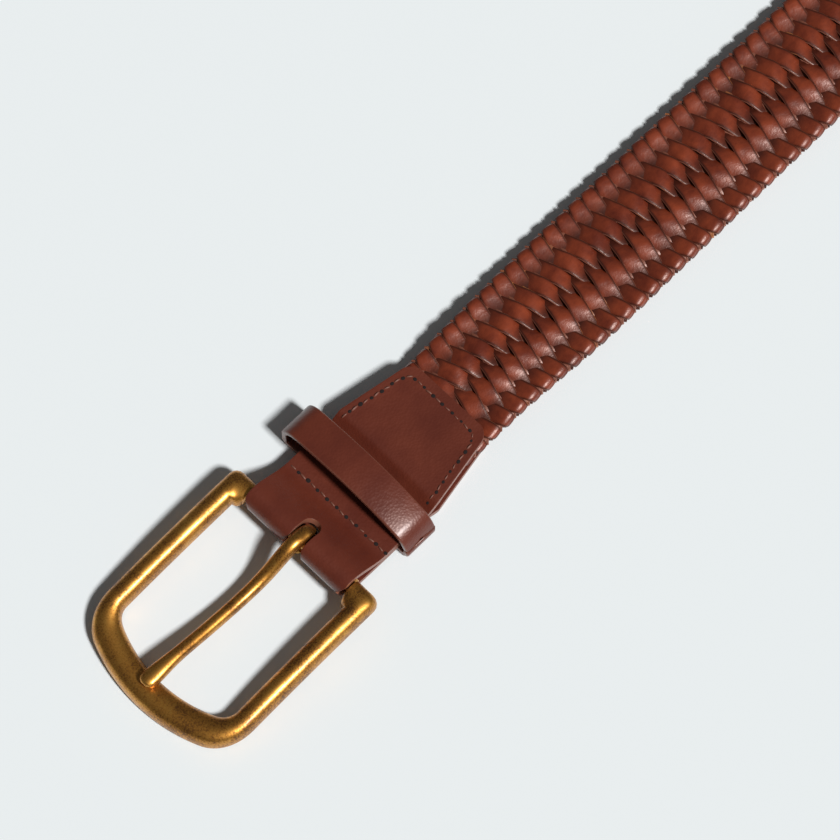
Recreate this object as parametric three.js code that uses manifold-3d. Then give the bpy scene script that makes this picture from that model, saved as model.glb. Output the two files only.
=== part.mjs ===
// Braided leather belt with a single-prong buckle, lying flat and straight. Millimetres, +Z up.
// +X runs along the belt from the buckle to the tip, and Y across it. Lengths along the belt are
// measured from the axis of the buckle's heel bar, and heights from the surface the belt lies on.

import * as THREE from "three";
import { mergeVertices } from "three/addons/utils/BufferGeometryUtils.js";
import Module from "manifold-3d";

const wasm = await Module();
wasm.setup();

// Leather and fits
const leather = 1.7; // thickness of the smooth leather
const clearance = 0.3; // gap between neighbouring pieces
const strapWidth = 35; // smooth leather at the buckle

// Buckle frame
const windowWidth = 39.4; // between the side bars
const sideBarWidth = 6;
const frontBarWidth = 8.2;
const barThickness = 5.2;
const frameReach = 58.5; // heel bar axis to the outside of the front bar
const frontBow = 46; // radius of the front bar's gentle bow, at mid bar
const frameCorner = 9; // corner radius at mid bar
const heelLift = 4; // how much higher the heel bar lies than the front bar
const heelBarDiameter = 4.2;
const heelHubWidth = 5.8; // along the belt, where the frame turns in to the heel bar
const heelHubThickness = 4.8;
const heelHubLead = 0.9; // middle of the hub in front of the heel bar axis
const heelOverrun = 2; // side bars past the heel bar axis
const barEndRounding = 2.2;

// Prong
const prongWidth = 4; // at the root
const prongThickness = 3.1;
const prongRing = 1.7; // wall of the ring round the heel bar
const prongRingWidth = 3.4;
const prongRise = 1; // the root's back above the ring
const prongSag = 2.3; // middle of the lowest stretch below the heel bar axis
const prongReach = 54.6; // heel bar axis to the tip
const prongSkew = 1.2; // the tip lies this much off the middle, as the loose prong fell

// Chape: the leather folded round the heel bar
const slotRoom = 0.4; // beside the prong, each side
const slotSetback = 0.9; // prong's ring to the blind end of the slot
const slotFlare = 0.8; // widening of the slot at the fold, each side
const slotFlareLength = 1.3;
const foldCorner = 2; // rounded corners of the strap at the fold
const foldLength = 12; // heel bar axis to the stitch line that closes the fold

// Keeper: the leather loop that takes the belt's tip
const keeperLeather = 1.8;
const keeperWidth = 10;
const keeperSetback = 4.2; // stitch line to the keeper
const keeperSideRoom = 3.3; // beside the strap, each side
const keeperShift = 1.6; // the loose loop lies this much off the middle
const keeperHeadroom = 6; // above the strap
const keeperTopRadius = 5;
const keeperBaseRadius = 2.4;

// Tabs: the leather ends over the braid
const tabLead = 5; // keeper to where the tab reaches full height
const tabLength = 21.5; // full height to the tab's end
const tabEndWidth = 27; // across the tapered end
const tabTaper = 22; // length of the taper
const tabCorner = 3.2;
const pinchThickness = 4; // of the braid between the tabs
const pinchWidth = 30.5;

// Braid and tip
const braidWidth = 33.6;
const braidThickness = 5.6;
const braidSwell = 12; // from a tab's end to full thickness
const braidSpread = 48; // from a tab's end to full width and down on the surface
const braidGroove = 0.5; // depth of the valleys between the four columns of lace
const braidTuck = 1.5; // braid's end short of where the tab's layers meet
const braidEdgePower = 2.6; // squareness of the braid's rounded edges
const columns = 4;
const pointsAcrossColumn = 8;
const beltLength = 1000; // front bar to tip
const tipLength = 84; // smooth leather beyond the braid
const tipPoint = 26; // length of the rounded point

// Fineness of the solids
const curveSegments = 8; // in a rounded corner
const pinSides = 24; // round the heel bar
const ringSides = 40; // round the prong's ring
const barEndSteps = 4; // in a rounded end of the frame's bars
const foldSteps = 16; // in the half turn of the leather round the heel bar
const leatherStep = 1.1; // along the leather
const braidStep = 3; // along the braid where it swells
const weld = 1e-4; // points closer than this are one
const overcut = 1; // a body that is trimmed reaches this far past the cut

// Heights
const heelHeight = barThickness / 2 + heelLift;
const foldInner = heelBarDiameter / 2 + clearance;
const foldOuter = foldInner + leather;
const ringOuter = foldInner + prongRing;
const underStrap = keeperLeather + clearance;
const tabHeight = 2 * leather + 2 * clearance + pinchThickness;

// Lengths along the belt
const keeperStart = foldLength + keeperSetback;
const keeperEnd = keeperStart + keeperWidth;
const tabFull = keeperEnd + tabLead;
const tabEnd = tabFull + tabLength;
const tipEnd = beltLength - frameReach;
const tipTabStart = tipEnd - tipLength;
const tipTabFull = tipTabStart + tabLength;
const frontBarX = frontBarWidth / 2 - frameReach;

const finish = {
  brass: { color: 0x8a6420, roughness: 0.35, metalness: 1 },
  smoothLeather: { color: 0x66301f, roughness: 0.5, metalness: 0 },
  lace: { color: 0x783322, roughness: 0.45, metalness: 0 },
};

const clamp01 = (t) => Math.min(1, Math.max(0, t));
const ease = (t) => clamp01(t) ** 2 * (3 - 2 * clamp01(t));
const mix = (a, b, t) => a + (b - a) * t;

// A closed body through rings of points, with a flat fan over each end
function loft(rings) {
  const sides = rings[0].length;
  const points = rings.flat();
  const index = [];
  for (let r = 0; r < rings.length - 1; r++) {
    for (let i = 0; i < sides; i++) {
      const a = r * sides + i;
      const b = r * sides + ((i + 1) % sides);
      index.push(a, b, a + sides, b, b + sides, a + sides);
    }
  }
  for (const [ring, flip] of [[0, true], [rings.length - 1, false]]) {
    const middle = new THREE.Vector3();
    rings[ring].forEach((p) => middle.addScaledVector(p, 1 / sides));
    points.push(middle);
    for (let i = 0; i < sides; i++) {
      const a = ring * sides + i;
      const b = ring * sides + ((i + 1) % sides);
      index.push(...(flip ? [b, a] : [a, b]), points.length - 1);
    }
  }
  return new THREE.BufferGeometry().setFromPoints(points).setIndex(index);
}

// Solid of a closed geometry, turned right way out
function solid(geometry) {
  const bare = geometry.clone();
  bare.deleteAttribute("normal");
  bare.deleteAttribute("uv");
  const merged = mergeVertices(bare, weld);
  const triVerts = new Uint32Array(merged.index.array);
  const vertProperties = new Float32Array(merged.attributes.position.array);
  const make = () => new wasm.Manifold(new wasm.Mesh({ numProp: 3, vertProperties, triVerts }));
  const first = make();
  if (first.volume() > 0) return first;
  for (let i = 0; i < triVerts.length; i += 3) {
    [triVerts[i], triVerts[i + 1]] = [triVerts[i + 1], triVerts[i]];
  }
  return make();
}

function geometryOf(body) {
  const mesh = body.getMesh();
  const geometry = new THREE.BufferGeometry();
  geometry.setAttribute("position", new THREE.BufferAttribute(new Float32Array(mesh.vertProperties), 3));
  geometry.setIndex(new THREE.BufferAttribute(new Uint32Array(mesh.triVerts), 1));
  geometry.computeVertexNormals();
  return geometry;
}

// Side profile in X and Z, made as wide as given and centred on Y = 0
function acrossBelt(shape, width) {
  const geometry = new THREE.ExtrudeGeometry(shape, { depth: width, bevelEnabled: false });
  return geometry.rotateX(Math.PI / 2).translate(0, width / 2, 0);
}

// Plan outline in X and Y, made into a block that spans every height of the leather
function uprightBlock(shape) {
  const span = 4 * (heelHeight + foldOuter);
  const geometry = new THREE.ExtrudeGeometry(shape, {
    depth: span,
    bevelEnabled: false,
    curveSegments,
  });
  return geometry.translate(0, 0, -span / 2);
}

// Half of a metal bar's section, from the middle of its domed top round to its flat base:
// share of the half width, share of the half thickness
const barOutline = [
  [0.0, 1.0],
  [0.4, 0.93],
  [0.72, 0.74],
  [0.92, 0.45],
  [1.0, 0.1],
  [1.0, -0.55],
  [0.9, -0.85],
  [0.62, -1.0],
];

function barSection(halfWidth, halfThickness) {
  const other = barOutline.slice(1).toReversed();
  return [...barOutline, ...other.map(([across, up]) => [-across, up])].map(([across, up]) => [
    across * halfWidth,
    up * halfThickness,
  ]);
}

// Middle of the frame's bars above the heel bar axis: level with it, then curving down to the front
function frameLift(x) {
  return -heelLift * Math.min(1, x / frontBarX) ** 2;
}

// Middle line of the frame in plan, from the left heel end round the front to the right one.
// Each step holds x, y, the direction outwards and how far it has turned into the front bar.
function framePath() {
  const side = (windowWidth + sideBarWidth) / 2;
  const bowAngle = Math.asin((side - frameCorner) / (frontBow - frameCorner));
  const bowCentre = frontBarX + frontBow;
  const cornerX = bowCentre - (frontBow - frameCorner) * Math.cos(bowAngle);
  const cornerY = side - frameCorner;
  const [sideSteps, cornerSteps, bowSteps] = [10, 9, 5];
  const half = [];
  for (let i = 0; i < sideSteps; i++) {
    half.push([mix(heelOverrun - barEndRounding, cornerX, i / sideSteps), side, Math.PI / 2, 0]);
  }
  for (let i = 0; i < cornerSteps; i++) {
    const t = i / cornerSteps;
    const angle = Math.PI / 2 + t * (Math.PI / 2 - bowAngle);
    half.push([
      cornerX + frameCorner * Math.cos(angle),
      cornerY + frameCorner * Math.sin(angle),
      angle,
      ease(t),
    ]);
  }
  for (let i = 0; i <= bowSteps; i++) {
    const angle = Math.PI - bowAngle * (1 - i / bowSteps);
    half.push([bowCentre + frontBow * Math.cos(angle), frontBow * Math.sin(angle), angle, 1]);
  }
  const other = half.slice(0, -1).reverse();
  return [...half, ...other.map(([x, y, angle, turn]) => [x, -y, 2 * Math.PI - angle, turn])];
}

function frameRing([x, y, angle, turn], shrink = 1, shift = 0) {
  const halfWidth = mix(sideBarWidth, frontBarWidth, turn) / 2;
  const z = frameLift(x);
  return barSection(halfWidth * shrink, (barThickness / 2) * shrink).map(
    ([across, up]) =>
      new THREE.Vector3(x + shift + across * Math.cos(angle), y + across * Math.sin(angle), z + up),
  );
}

// Cast frame: swept bars with rounded heel ends, and the heel bar between them
function buckleFrame() {
  const path = framePath();
  const tipShare = 0.6; // the outermost ring of an end stands for part of a step
  const cap = Array.from({ length: barEndSteps }, (_, i) => {
    const angle = ((i + tipShare) / (barEndSteps + tipShare)) * (Math.PI / 2);
    return [Math.sin(angle), barEndRounding * Math.cos(angle)];
  });
  const rings = [
    ...cap.map(([shrink, shift]) => frameRing(path[0], shrink, shift)),
    ...path.map((step) => frameRing(step)),
    ...cap.toReversed().map(([shrink, shift]) => frameRing(path.at(-1), shrink, shift)),
  ];
  const side = (windowWidth + sideBarWidth) / 2;
  const hubStart = strapWidth / 2 + clearance;
  const hub = (from, to) =>
    loft(
      [from, to].map((y) =>
        barSection(heelHubWidth / 2, heelHubThickness / 2).map(
          ([across, up]) => new THREE.Vector3(across - heelHubLead, y, up),
        ),
      ),
    );
  const radius = heelBarDiameter / 2;
  const heelBar = new THREE.CylinderGeometry(radius, radius, 2 * side, pinSides);
  return geometryOf(
    solid(loft(rings))
      .add(solid(hub(hubStart, side)))
      .add(solid(hub(-side, -hubStart)))
      .add(solid(heelBar)),
  );
}

// Prong sections from the root to the tip: share of the reach, shares of the width and thickness,
// and how far the middle lies up from the sag to the root's height and to the front bar's
const prongSections = [
  { reach: -0.03, width: 0.95, thick: 0.42, root: 0.92, rest: 0 },
  { reach: 0.0, width: 1.0, thick: 0.77, root: 0.94, rest: 0 },
  { reach: 0.02, width: 1.0, thick: 0.93, root: 0.975, rest: 0 },
  { reach: 0.045, width: 1.0, thick: 1.0, root: 1.0, rest: 0 },
  { reach: 0.085, width: 1.0, thick: 1.0, root: 0.95, rest: 0 },
  { reach: 0.13, width: 0.99, thick: 0.98, root: 0.76, rest: 0 },
  { reach: 0.18, width: 0.97, thick: 0.96, root: 0.5, rest: 0 },
  { reach: 0.23, width: 0.95, thick: 0.94, root: 0.27, rest: 0 },
  { reach: 0.3, width: 0.92, thick: 0.92, root: 0.08, rest: 0 },
  { reach: 0.4, width: 0.89, thick: 0.9, root: 0, rest: 0 },
  { reach: 0.5, width: 0.88, thick: 0.88, root: 0, rest: 0.07 },
  { reach: 0.6, width: 0.88, thick: 0.87, root: 0, rest: 0.27 },
  { reach: 0.7, width: 0.89, thick: 0.87, root: 0, rest: 0.58 },
  { reach: 0.78, width: 0.92, thick: 0.86, root: 0, rest: 0.84 },
  { reach: 0.85, width: 1.03, thick: 0.85, root: 0, rest: 0.98 },
  { reach: 0.91, width: 1.17, thick: 0.84, root: 0, rest: 1 },
  { reach: 0.955, width: 1.2, thick: 0.8, root: 0, rest: 1 },
  { reach: 0.98, width: 1.08, thick: 0.7, root: 0, rest: 1 },
  { reach: 0.993, width: 0.8, thick: 0.52, root: 0, rest: 1 },
  { reach: 1.0, width: 0.4, thick: 0.26, root: 0, rest: 1 },
];

// Plan of a tongue along the belt with a round end at reach, cut off square at the other end
function tongue(half, reach) {
  const shape = new THREE.Shape();
  shape.moveTo(-2 * ringOuter, -half);
  shape.lineTo(reach - half, -half);
  shape.absarc(reach - half, 0, half, -Math.PI / 2, Math.PI / 2, false);
  shape.lineTo(-2 * ringOuter, half);
  shape.closePath();
  return shape;
}

// Prong about the heel bar axis: an S along its length, with a round-ended ring at the heel
function buckleProng() {
  const rootLift = ringOuter + prongRise - prongThickness / 2;
  const restGap = barThickness / 2 - heelLift + clearance;
  const restRow = prongSections.find(({ rest }) => rest === 1);
  const restLift = restGap + (prongThickness * restRow.thick) / 2;
  const rings = prongSections.map(({ reach, width, thick, root, rest }) => {
    const y = prongSkew * clamp01(reach);
    const z = -prongSag + root * (rootLift + prongSag) + rest * (restLift + prongSag);
    return barSection((prongWidth / 2) * width, (prongThickness / 2) * thick).map(
      ([across, up]) => new THREE.Vector3(-reach * prongReach, y + across, z + up),
    );
  });
  const disc = (radius, width) => new THREE.CylinderGeometry(radius, radius, width, ringSides);
  const ring = solid(disc(ringOuter, prongRingWidth)).intersect(
    solid(uprightBlock(tongue(prongRingWidth / 2, ringOuter))),
  );
  return geometryOf(solid(loft(rings)).add(ring).subtract(solid(disc(foldInner, 2 * prongWidth))));
}

// Heights of the outer faces of the folded chape along the belt
function chapeTop(x) {
  const fold = mix(heelHeight + foldOuter, underStrap + 2 * leather, ease(x / foldLength));
  return mix(fold, tabHeight, ease((x - keeperEnd) / tabLead));
}

function chapeBase(x) {
  const fold = mix(heelHeight - foldOuter, underStrap, ease(x / foldLength));
  return mix(fold, 0, ease((x - keeperEnd) / tabLead));
}

// Heights of the outer faces of the tip's two layers, which meet beyond the end of the braid
function tipTop(x) {
  return mix(tabHeight, 2 * leather, ease((x - tipTabFull) / tabLead));
}

function tipBase() {
  return 0;
}

// The inner face of a layer, one leather thickness in from its outer face, square to its slope
function innerFace(outer, side, x) {
  const step = 0.05;
  const slope = (outer(x + step) - outer(x - step)) / (2 * step);
  return outer(x) + side * leather * Math.hypot(1, slope);
}

function steps(from, to, length) {
  const count = Math.max(2, Math.ceil(Math.abs(to - from) / length));
  return Array.from({ length: count + 1 }, (_, i) => mix(from, to, i / count));
}

// Where two inner faces come together between two places along the belt
function meeting(top, base, open, closed) {
  const touching = 0.02;
  const halvings = 30;
  let wide = open;
  let shut = closed;
  for (let i = 0; i < halvings; i++) {
    const middle = (wide + shut) / 2;
    if (innerFace(top, -1, middle) - innerFace(base, 1, middle) > touching) wide = middle;
    else shut = middle;
  }
  return wide;
}

const toPoints = (xs, height) => xs.map((x) => new THREE.Vector2(x, height(x)));

// An outline without the points that lie along a straight stretch
function cornersOnly(points) {
  const straight = 1e-5;
  return points.filter((point, i) => {
    const before = points.at(i - 1);
    const after = points[(i + 1) % points.length];
    return Math.abs(after.clone().sub(point).cross(point.clone().sub(before))) > straight;
  });
}

// Mouth of a tab: end of the top layer, back along the pocket for the braid, and out again
function pocket(top, base, mouth, closed) {
  const seam = meeting(top, base, mouth, closed);
  const xs = steps(mouth, seam, leatherStep);
  return [
    ...toPoints(xs, (x) => innerFace(top, -1, x)),
    ...toPoints(xs.toReversed(), (x) => innerFace(base, 1, x)),
  ];
}

// Carries a plan outline on round a tab's tapered end, whose corners are rounded. toTip is 1 where
// the tab points to the tip and -1 where it points to the buckle.
function taperedEnd(shape, end, toTip) {
  const start = end - toTip * tabTaper;
  const half = tabEndWidth / 2;
  const corner = new THREE.Vector2(tabTaper, strapWidth / 2 - half).setLength(tabCorner);
  const nearCorner = end - toTip * corner.x;
  shape.lineTo(start, (-toTip * strapWidth) / 2);
  shape.lineTo(nearCorner, -toTip * (half + corner.y));
  shape.quadraticCurveTo(end, -toTip * half, end, -toTip * (half - tabCorner));
  shape.lineTo(end, toTip * (half - tabCorner));
  shape.quadraticCurveTo(end, toTip * half, nearCorner, toTip * (half + corner.y));
  shape.lineTo(start, (toTip * strapWidth) / 2);
}

// Half turn round the heel bar at the front, from below to above
function foldArc(radius) {
  return Array.from({ length: foldSteps - 1 }, (_, i) => {
    const angle = -Math.PI / 2 - (Math.PI * (i + 1)) / foldSteps;
    return new THREE.Vector2(radius * Math.cos(angle), heelHeight + radius * Math.sin(angle));
  });
}

function chape() {
  const back = steps(tabEnd, 0, leatherStep);
  const outline = [
    ...toPoints(back, chapeBase),
    ...foldArc(foldOuter),
    ...toPoints(back.toReversed(), chapeTop),
    ...pocket(chapeTop, chapeBase, tabEnd, keeperEnd),
  ];
  const side = new THREE.Shape(cornersOnly(outline));
  const foldSeam = meeting(chapeTop, chapeBase, 0, foldLength);
  const inside = steps(0, foldSeam, leatherStep);
  const loop = [
    ...toPoints(inside.toReversed(), (x) => innerFace(chapeBase, 1, x)),
    ...foldArc(foldInner),
    ...toPoints(inside, (x) => innerFace(chapeTop, -1, x)),
  ];
  side.holes.push(new THREE.Path(cornersOnly(loop.toReversed())));

  const half = strapWidth / 2;
  const plan = new THREE.Shape();
  plan.moveTo(-foldOuter - clearance, foldCorner - half);
  plan.quadraticCurveTo(-foldOuter - clearance, -half, foldCorner - foldOuter, -half);
  taperedEnd(plan, tabEnd, 1);
  plan.lineTo(foldCorner - foldOuter, half);
  plan.quadraticCurveTo(-foldOuter - clearance, half, -foldOuter - clearance, half - foldCorner);
  plan.closePath();

  const slotHalf = prongWidth / 2 + slotRoom;
  const flareSlope = slotFlare / slotFlareLength;
  const mouthHalf = slotHalf + slotFlare;
  const flare = new THREE.Shape();
  flare.moveTo(-2 * foldOuter, -mouthHalf - foldOuter * flareSlope);
  flare.lineTo(mouthHalf / flareSlope - foldOuter, 0);
  flare.lineTo(-2 * foldOuter, mouthHalf + foldOuter * flareSlope);
  flare.closePath();

  const strap = solid(acrossBelt(side, 2 * strapWidth));
  return geometryOf(
    strap
      .intersect(solid(uprightBlock(plan)))
      .subtract(solid(uprightBlock(tongue(slotHalf, ringOuter + slotSetback))))
      .subtract(solid(uprightBlock(flare))),
  );
}

// A bar along the belt with rounded edges, in line with the keeper's middle
function roundedBar(halfWidth, base, top, baseRadius, topRadius, start, length) {
  const shape = new THREE.Shape();
  shape.moveTo(baseRadius - halfWidth, base);
  shape.lineTo(halfWidth - baseRadius, base);
  shape.absarc(halfWidth - baseRadius, base + baseRadius, baseRadius, -Math.PI / 2, 0, false);
  shape.lineTo(halfWidth, top - topRadius);
  shape.absarc(halfWidth - topRadius, top - topRadius, topRadius, 0, Math.PI / 2, false);
  shape.lineTo(topRadius - halfWidth, top);
  shape.absarc(topRadius - halfWidth, top - topRadius, topRadius, Math.PI / 2, Math.PI, false);
  shape.lineTo(-halfWidth, base + baseRadius);
  shape.absarc(baseRadius - halfWidth, base + baseRadius, baseRadius, Math.PI, 1.5 * Math.PI, false);
  const extrude = { depth: length, bevelEnabled: false, curveSegments };
  const geometry = new THREE.ExtrudeGeometry(shape, extrude);
  return solid(geometry.rotateX(Math.PI / 2).rotateZ(Math.PI / 2).translate(start, keeperShift, 0));
}

function keeperLoop() {
  const inner = strapWidth / 2 + keeperSideRoom;
  const ceiling = chapeTop(keeperEnd) + keeperHeadroom;
  const wall = keeperLeather;
  const leastRadius = wall / 4;
  const outside = roundedBar(
    inner + wall,
    0,
    ceiling + wall,
    keeperBaseRadius,
    keeperTopRadius,
    keeperStart,
    keeperWidth,
  );
  const inside = roundedBar(
    inner,
    wall,
    ceiling,
    Math.max(leastRadius, keeperBaseRadius - wall),
    Math.max(leastRadius, keeperTopRadius - wall),
    keeperStart - wall,
    keeperWidth + 2 * wall,
  );
  return geometryOf(outside.subtract(inside));
}

// Underside of the braid: share of the half width, share of the height
const braidUnderside = [
  [-0.985, 0.2],
  [-0.93, 0],
  [0.93, 0],
  [0.985, 0.2],
];

// Braid at a place along the belt, from how far it lies past the end of the nearer tab
function braidRing(x, inPocket) {
  const past = inPocket ? 0 : Math.min(x - tabEnd, tipTabStart - x);
  const halfWidth = mix(pinchWidth, braidWidth, ease(past / braidSpread)) / 2;
  const height = mix(pinchThickness, braidThickness, ease(past / braidSwell));
  const base = mix(leather + clearance, 0, ease(past / braidSpread));
  const groove = braidGroove * ease(past / braidSwell);
  const count = pointsAcrossColumn * columns;
  const top = Array.from({ length: count + 1 }, (_, i) => {
    const share = 1 - (2 * i) / count;
    const round = (1 - Math.abs(share) ** (2 * braidEdgePower)) ** (1 / braidEdgePower);
    const betweenColumns = Math.abs(share) < 1 - 1 / (2 * columns);
    const valley = betweenColumns ? groove * Math.cos((share * columns * Math.PI) / 2) ** 2 : 0;
    return [share * halfWidth, base + (height / 2) * (1 + round) - valley];
  });
  const under = braidUnderside.map(([share, up]) => [share * halfWidth, base + height * up]);
  return [...top, ...under].map(([y, z]) => new THREE.Vector3(x, y, z));
}

function braidedStrap() {
  const start = tabFull + braidTuck;
  const end = tipTabFull - braidTuck;
  const opening = steps(tabEnd, tabEnd + braidSpread, braidStep);
  const closing = steps(tipTabStart - braidSpread, tipTabStart, braidStep);
  const rings = [
    braidRing(start, true),
    ...[...opening, ...closing].map((x) => braidRing(x, false)),
    braidRing(end, true),
  ];
  return geometryOf(solid(loft(rings)));
}

function tipTab() {
  const forth = steps(tipTabStart, tipTabFull + tabLead, leatherStep);
  const outline = [
    ...toPoints([tipEnd + overcut, ...forth.toReversed()], tipBase),
    ...pocket(tipTop, tipBase, tipTabStart, tipTabFull + tabLead).toReversed(),
    ...toPoints([...forth, tipEnd + overcut], tipTop),
  ];
  const side = new THREE.Shape(cornersOnly(outline));
  const half = strapWidth / 2;
  const plan = new THREE.Shape();
  plan.moveTo(tipEnd - tipPoint, half);
  taperedEnd(plan, tipTabStart, -1);
  plan.lineTo(tipEnd - tipPoint, -half);
  plan.bezierCurveTo(tipEnd - tipPoint / 3, -half, tipEnd, -half / 2, tipEnd, 0);
  plan.bezierCurveTo(tipEnd, half / 2, tipEnd - tipPoint / 3, half, tipEnd - tipPoint, half);
  return geometryOf(solid(acrossBelt(side, 2 * strapWidth)).intersect(solid(uprightBlock(plan))));
}

function piece(name, geometry, look) {
  const mesh = new THREE.Mesh(geometry, new THREE.MeshStandardMaterial(look));
  mesh.name = name;
  return mesh;
}

const strap = new THREE.Group();
strap.add(
  piece("chape", chape(), finish.smoothLeather),
  piece("keeper_loop", keeperLoop(), finish.smoothLeather),
  piece("braided_strap", braidedStrap(), finish.lace),
  piece("tip_tab", tipTab(), finish.smoothLeather),
);

// Frame and prong turn about the heel bar axis
const buckle = new THREE.Group();
buckle.add(
  piece("buckle_frame", buckleFrame(), finish.brass),
  piece("buckle_prong", buckleProng(), finish.brass),
);
buckle.position.z = heelHeight;

// The origin lies on the surface, under the middle of the whole belt
const belt = new THREE.Group();
belt.add(strap, buckle);
belt.position.x = frameReach - beltLength / 2;

export default belt;
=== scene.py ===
import math

import bmesh
import bpy
import numpy as np
from mathutils import Matrix, Vector


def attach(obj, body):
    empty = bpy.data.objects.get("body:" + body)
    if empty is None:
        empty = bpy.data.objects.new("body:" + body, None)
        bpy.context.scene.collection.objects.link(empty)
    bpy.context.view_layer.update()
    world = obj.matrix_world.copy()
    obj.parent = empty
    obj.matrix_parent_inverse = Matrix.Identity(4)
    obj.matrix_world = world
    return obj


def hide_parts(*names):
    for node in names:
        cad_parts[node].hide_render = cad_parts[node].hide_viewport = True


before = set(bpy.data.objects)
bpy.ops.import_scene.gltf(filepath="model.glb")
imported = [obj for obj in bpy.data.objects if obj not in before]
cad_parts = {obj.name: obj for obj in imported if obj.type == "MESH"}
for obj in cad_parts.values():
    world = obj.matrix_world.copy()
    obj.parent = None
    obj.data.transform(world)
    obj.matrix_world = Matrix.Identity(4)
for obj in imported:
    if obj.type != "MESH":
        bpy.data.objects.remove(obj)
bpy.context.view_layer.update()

# Places along the belt are in millimetres from the axis of the buckle's heel bar.
# The belt's own origin lies beltShift further towards the tip.
millimetre = 0.001
beltShift = 441.5

belt = {
    "leather": 1.7,
    "strapWidth": 35.0,
    "heelHeight": 6.6,
    "foldInner": 2.4,
    "foldLength": 12.0,
    "underStrap": 2.1,
    "keeperStart": 16.2,
    "keeperEnd": 26.2,
    "tabLead": 5.0,
    "tabHeight": 8.0,
    "tabEnd": 52.7,
    "tabTaper": 22.0,
    "tabEndWidth": 27.0,
    "tabCorner": 3.2,
    "tipTabStart": 857.5,
    "tipTabFull": 879.0,
    "tipEnd": 941.5,
    "tipPoint": 26.0,
}


# Value at a share t of the way from a to b
def mix(a, b, t):
    return a + (b - a) * t


# Share between 0 and 1 that starts and ends softly
def ease(t):
    t = np.clip(t, 0.0, 1.0)
    return t * t * (3 - 2 * t)


# sRGB hex to the linear colour that a shader takes
def linear(hexColor):
    parts = [int(hexColor[i:i + 2], 16) / 255 for i in (1, 3, 5)]
    return (*[c / 12.92 if c <= 0.04045 else ((c + 0.055) / 1.055) ** 2.4 for c in parts], 1.0)


# Adds a node with its settings, sets or links its inputs, and returns its first output
def addNode(tree, kind, inputs=None, **settings):
    node = tree.nodes.new(kind)
    for key, value in settings.items():
        setattr(node, key, value)
    for key, value in (inputs or {}).items():
        if isinstance(value, bpy.types.NodeSocket):
            tree.links.new(value, node.inputs[key])
        else:
            node.inputs[key].default_value = value
    return node.outputs[0] if node.outputs else None


# Materials


# Empty material and its node tree
def newMaterial(name):
    material = bpy.data.materials.new(name)
    material.use_nodes = True
    tree = material.node_tree
    tree.nodes.clear()
    return material, tree


brassLook = {
    "bright": "#e0a850",
    "body": "#c08539",
    "patina": "#7a5127",
    "roughness": 0.4,
    "lacquer": 0.4,
    "lacquerRoughness": 0.25,
    "speckleSize": 0.5,
    "speckleDepth": 0.05,
    "patinaSize": 9.0,
}


# Cast brass with a dark antique patina in random patches, smoother where the metal is bright
def antiqueBrass():
    material, tree = newMaterial("antique_brass")
    place = addNode(tree, "ShaderNodeTexCoord").node.outputs["Object"]
    cloud = addNode(tree, "ShaderNodeTexNoise", {
        "Vector": place, "Scale": 1000 / brassLook["patinaSize"], "Detail": 6.0, "Roughness": 0.65})
    speckle = addNode(tree, "ShaderNodeTexNoise", {
        "Vector": place, "Scale": 1000 / brassLook["speckleSize"], "Detail": 3.0, "Roughness": 0.7})
    worn = addNode(tree, "ShaderNodeMath", {0: cloud, 1: speckle}, operation="ADD")
    half = addNode(tree, "ShaderNodeMath", {0: worn, 1: 0.5}, operation="MULTIPLY")
    ramp = addNode(tree, "ShaderNodeValToRGB", {"Fac": half})
    stops = ramp.node.color_ramp.elements
    stops[0].position, stops[0].color = 0.4, linear(brassLook["patina"])
    stops[1].position, stops[1].color = 0.62, linear(brassLook["bright"])
    middle = stops.new(0.5)
    middle.color = linear(brassLook["body"])
    rough = addNode(tree, "ShaderNodeMapRange", {
        "Value": half, "From Min": 0.35, "From Max": 0.65,
        "To Min": brassLook["roughness"] + 0.12, "To Max": brassLook["roughness"] - 0.05})
    bump = addNode(tree, "ShaderNodeBump", {
        "Height": speckle, "Strength": 0.12, "Distance": brassLook["speckleDepth"] * millimetre})
    shader = addNode(tree, "ShaderNodeBsdfPrincipled", {
        "Base Color": ramp, "Metallic": 1.0, "Roughness": rough, "Normal": bump,
        "Coat Weight": brassLook["lacquer"], "Coat Roughness": brassLook["lacquerRoughness"]})
    addNode(tree, "ShaderNodeOutputMaterial", {"Surface": shader})
    return material


leatherLook = {
    "dark": "#58251a",
    "light": "#672d1d",
    "edge": "#80503f",
    "roughness": 0.36,
    "sheen": "#ffe2d8",
    "wax": 0.45,
    "waxRoughness": 0.3,
    "mottleSize": 12.0,
    "mottleDepth": 0.4,
    "poreSize": 0.7,
    "poreDepth": 0.1,
}


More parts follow.
